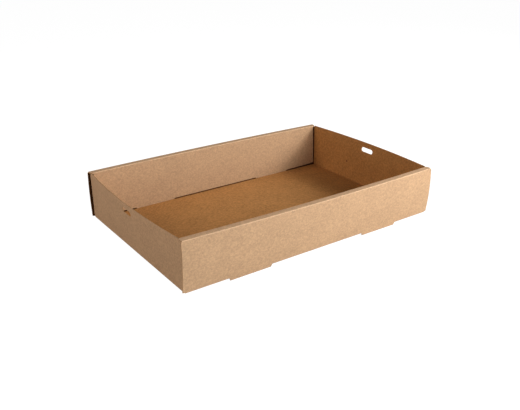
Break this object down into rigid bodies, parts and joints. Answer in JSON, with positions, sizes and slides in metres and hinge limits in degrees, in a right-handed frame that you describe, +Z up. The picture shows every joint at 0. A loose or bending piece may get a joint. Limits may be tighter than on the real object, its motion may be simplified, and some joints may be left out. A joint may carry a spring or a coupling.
{
  "type": "cardboard tray box",
  "caption": "Open rectangular kraft cardboard tray folded from a single blank, with rolled-over hollow long walls, flat bowed rims, low feet and a lid lock slot in each end wall.",
  "frame": {"origin": "centre of the footprint, on the surface that the feet stand on", "axes": "+X along the two folded-over long walls, +Y across the tray, +Z up out of the open top"},
  "size_m": [0.462, 0.304, 0.08],
  "materials": {
    "kraft_board": "matt brown kraft board"
  },
  "bodies": {
    "root": {"tray": "kraft_board"}
  },
  "joints": []
}
